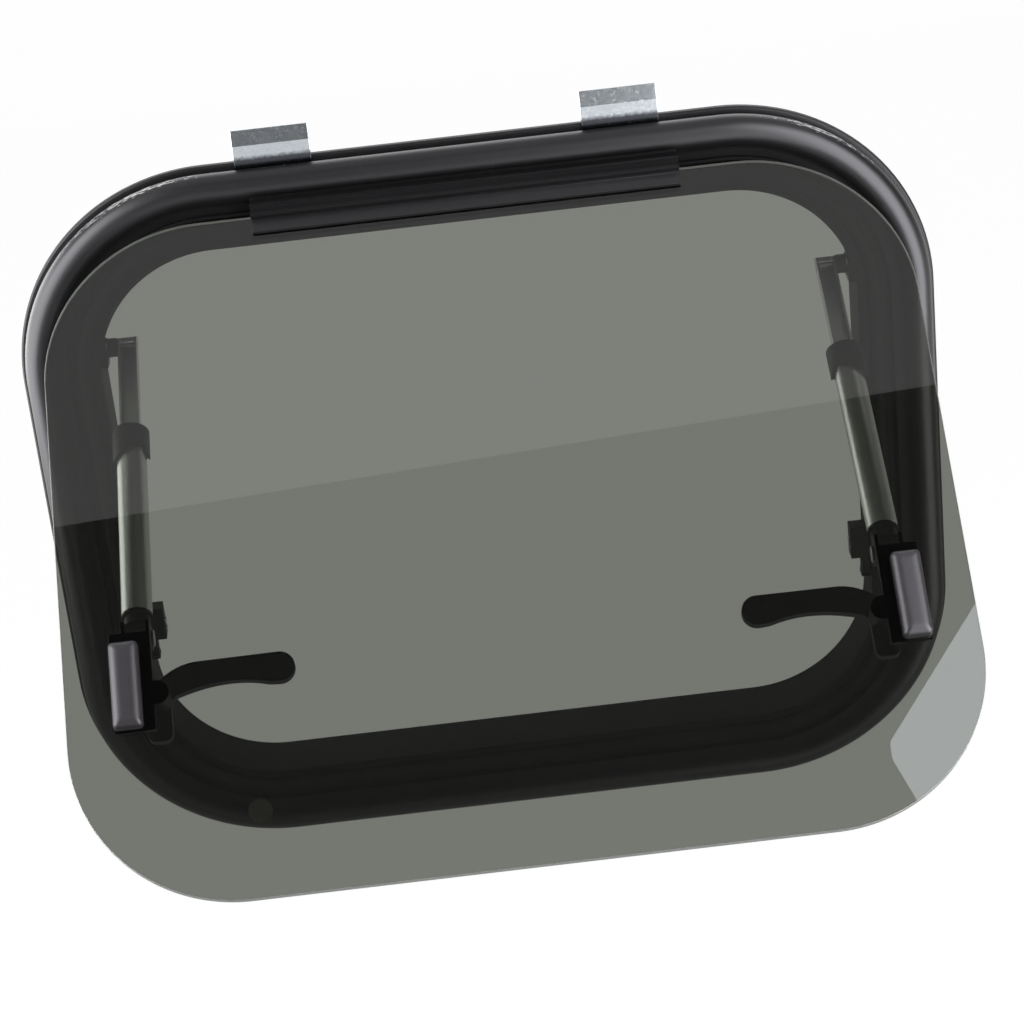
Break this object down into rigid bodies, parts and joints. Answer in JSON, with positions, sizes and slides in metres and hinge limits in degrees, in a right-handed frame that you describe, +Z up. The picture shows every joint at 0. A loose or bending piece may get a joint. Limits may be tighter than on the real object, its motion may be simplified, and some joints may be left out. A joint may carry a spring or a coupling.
{
  "type": "caravan window",
  "caption": "Top-hung tinted glass caravan window in a black rounded aluminium frame, held open by telescopic stays, with catch levers.",
  "frame": {"origin": "on the flat wall-side face of the outer flange, in the middle of its flat band at the bottom centre of the window", "axes": "+X to the right seen from outside, +Z up, +Y from the outside into the vehicle; the sash opens towards -Y"},
  "size_m": [0.535, 0.3385, 0.4605],
  "materials": {
    "black_frame": "satin black coated aluminium",
    "seal_rubber": "matt black rubber",
    "zinc_steel": "zinc plated sheet steel",
    "black_plastic": "black moulded plastic",
    "tinted_glass": "grey-green tinted toughened glass",
    "grey_metal": "satin grey coated die casting",
    "pin_steel": "dull steel",
    "tube_aluminium": "natural anodised aluminium"
  },
  "bodies": {
    "frame": {"outer_frame": "black_frame", "frame_tunnel": "black_frame", "wall_gasket": "seal_rubber", "frame_seal": "seal_rubber", "clamp_ring": "black_frame", "hinge_rail": "black_frame", "wall_clip_left": "zinc_steel", "wall_clip_right": "zinc_steel", "stay_bracket_left": "black_plastic", "stay_bracket_right": "black_plastic", "strike_left": "black_plastic", "strike_right": "black_plastic"},
    "sash": {"glass": "tinted_glass", "hinge_leaf": "black_frame", "sash_bracket_left": "black_plastic", "sash_bracket_right": "black_plastic", "cover_left": "grey_metal", "cover_right": "grey_metal", "stay_pin_left": "pin_steel", "stay_pin_right": "pin_steel", "catch_pin_left": "pin_steel", "catch_pin_right": "pin_steel"},
    "catch_left": {"catch_lever_left": "black_plastic"},
    "catch_right": {"catch_lever_right": "black_plastic"},
    "stay_left": {"stay_tube_left": "tube_aluminium", "stay_plug_left": "black_plastic", "stay_collar_left": "black_plastic"},
    "stay_right": {"stay_tube_right": "tube_aluminium", "stay_plug_right": "black_plastic", "stay_collar_right": "black_plastic"},
    "slide_left": {"stay_rod_left": "tube_aluminium", "rod_pin_left": "pin_steel"},
    "slide_right": {"stay_rod_right": "tube_aluminium", "rod_pin_right": "pin_steel"}
  },
  "joints": [
    {"name": "sash_hinge", "type": "hinge", "parent": "frame", "child": "sash", "pos_m": [0, -0.0196, 0.4082], "axis": [1, 0, 0], "range_deg": [0, 48.8]},
    {"name": "stay_left_turn", "type": "hinge", "parent": "sash", "child": "stay_left", "pos_m": [-0.204, -0.18461, 0.23504], "axis": [1, 0, 0], "range_deg": [-0.01, 14.83]},
    {"name": "stay_left_slide", "type": "slide", "parent": "stay_left", "child": "slide_left", "axis": [0, 0.8958, 0.4444], "range_m": [-0.0507, 0]},
    {"name": "stay_right_turn", "type": "hinge", "parent": "sash", "child": "stay_right", "pos_m": [0.204, -0.18461, 0.23504], "axis": [1, 0, 0], "range_deg": [-0.01, 14.83]},
    {"name": "stay_right_slide", "type": "slide", "parent": "stay_right", "child": "slide_right", "axis": [0, 0.8958, 0.4444], "range_m": [-0.0507, 0]},
    {"name": "catch_left_turn", "type": "hinge", "parent": "sash", "child": "catch_left", "pos_m": [-0.195, -0.20897, 0.20973], "axis": [0, 0.6587, -0.7524], "range_deg": [0, 90]},
    {"name": "catch_right_turn", "type": "hinge", "parent": "sash", "child": "catch_right", "pos_m": [0.195, -0.20897, 0.20973], "axis": [0, -0.6587, 0.7524], "range_deg": [0, 90]}
  ],
  "couplings": [
    {"joint": "stay_left_turn", "follows": "sash_hinge", "ratio": 0.30364},
    {"joint": "stay_left_slide", "follows": "sash_hinge", "m_per_rad": -0.059514},
    {"joint": "stay_right_turn", "follows": "sash_hinge", "ratio": 0.30364},
    {"joint": "stay_right_slide", "follows": "sash_hinge", "m_per_rad": -0.059514}
  ]
}
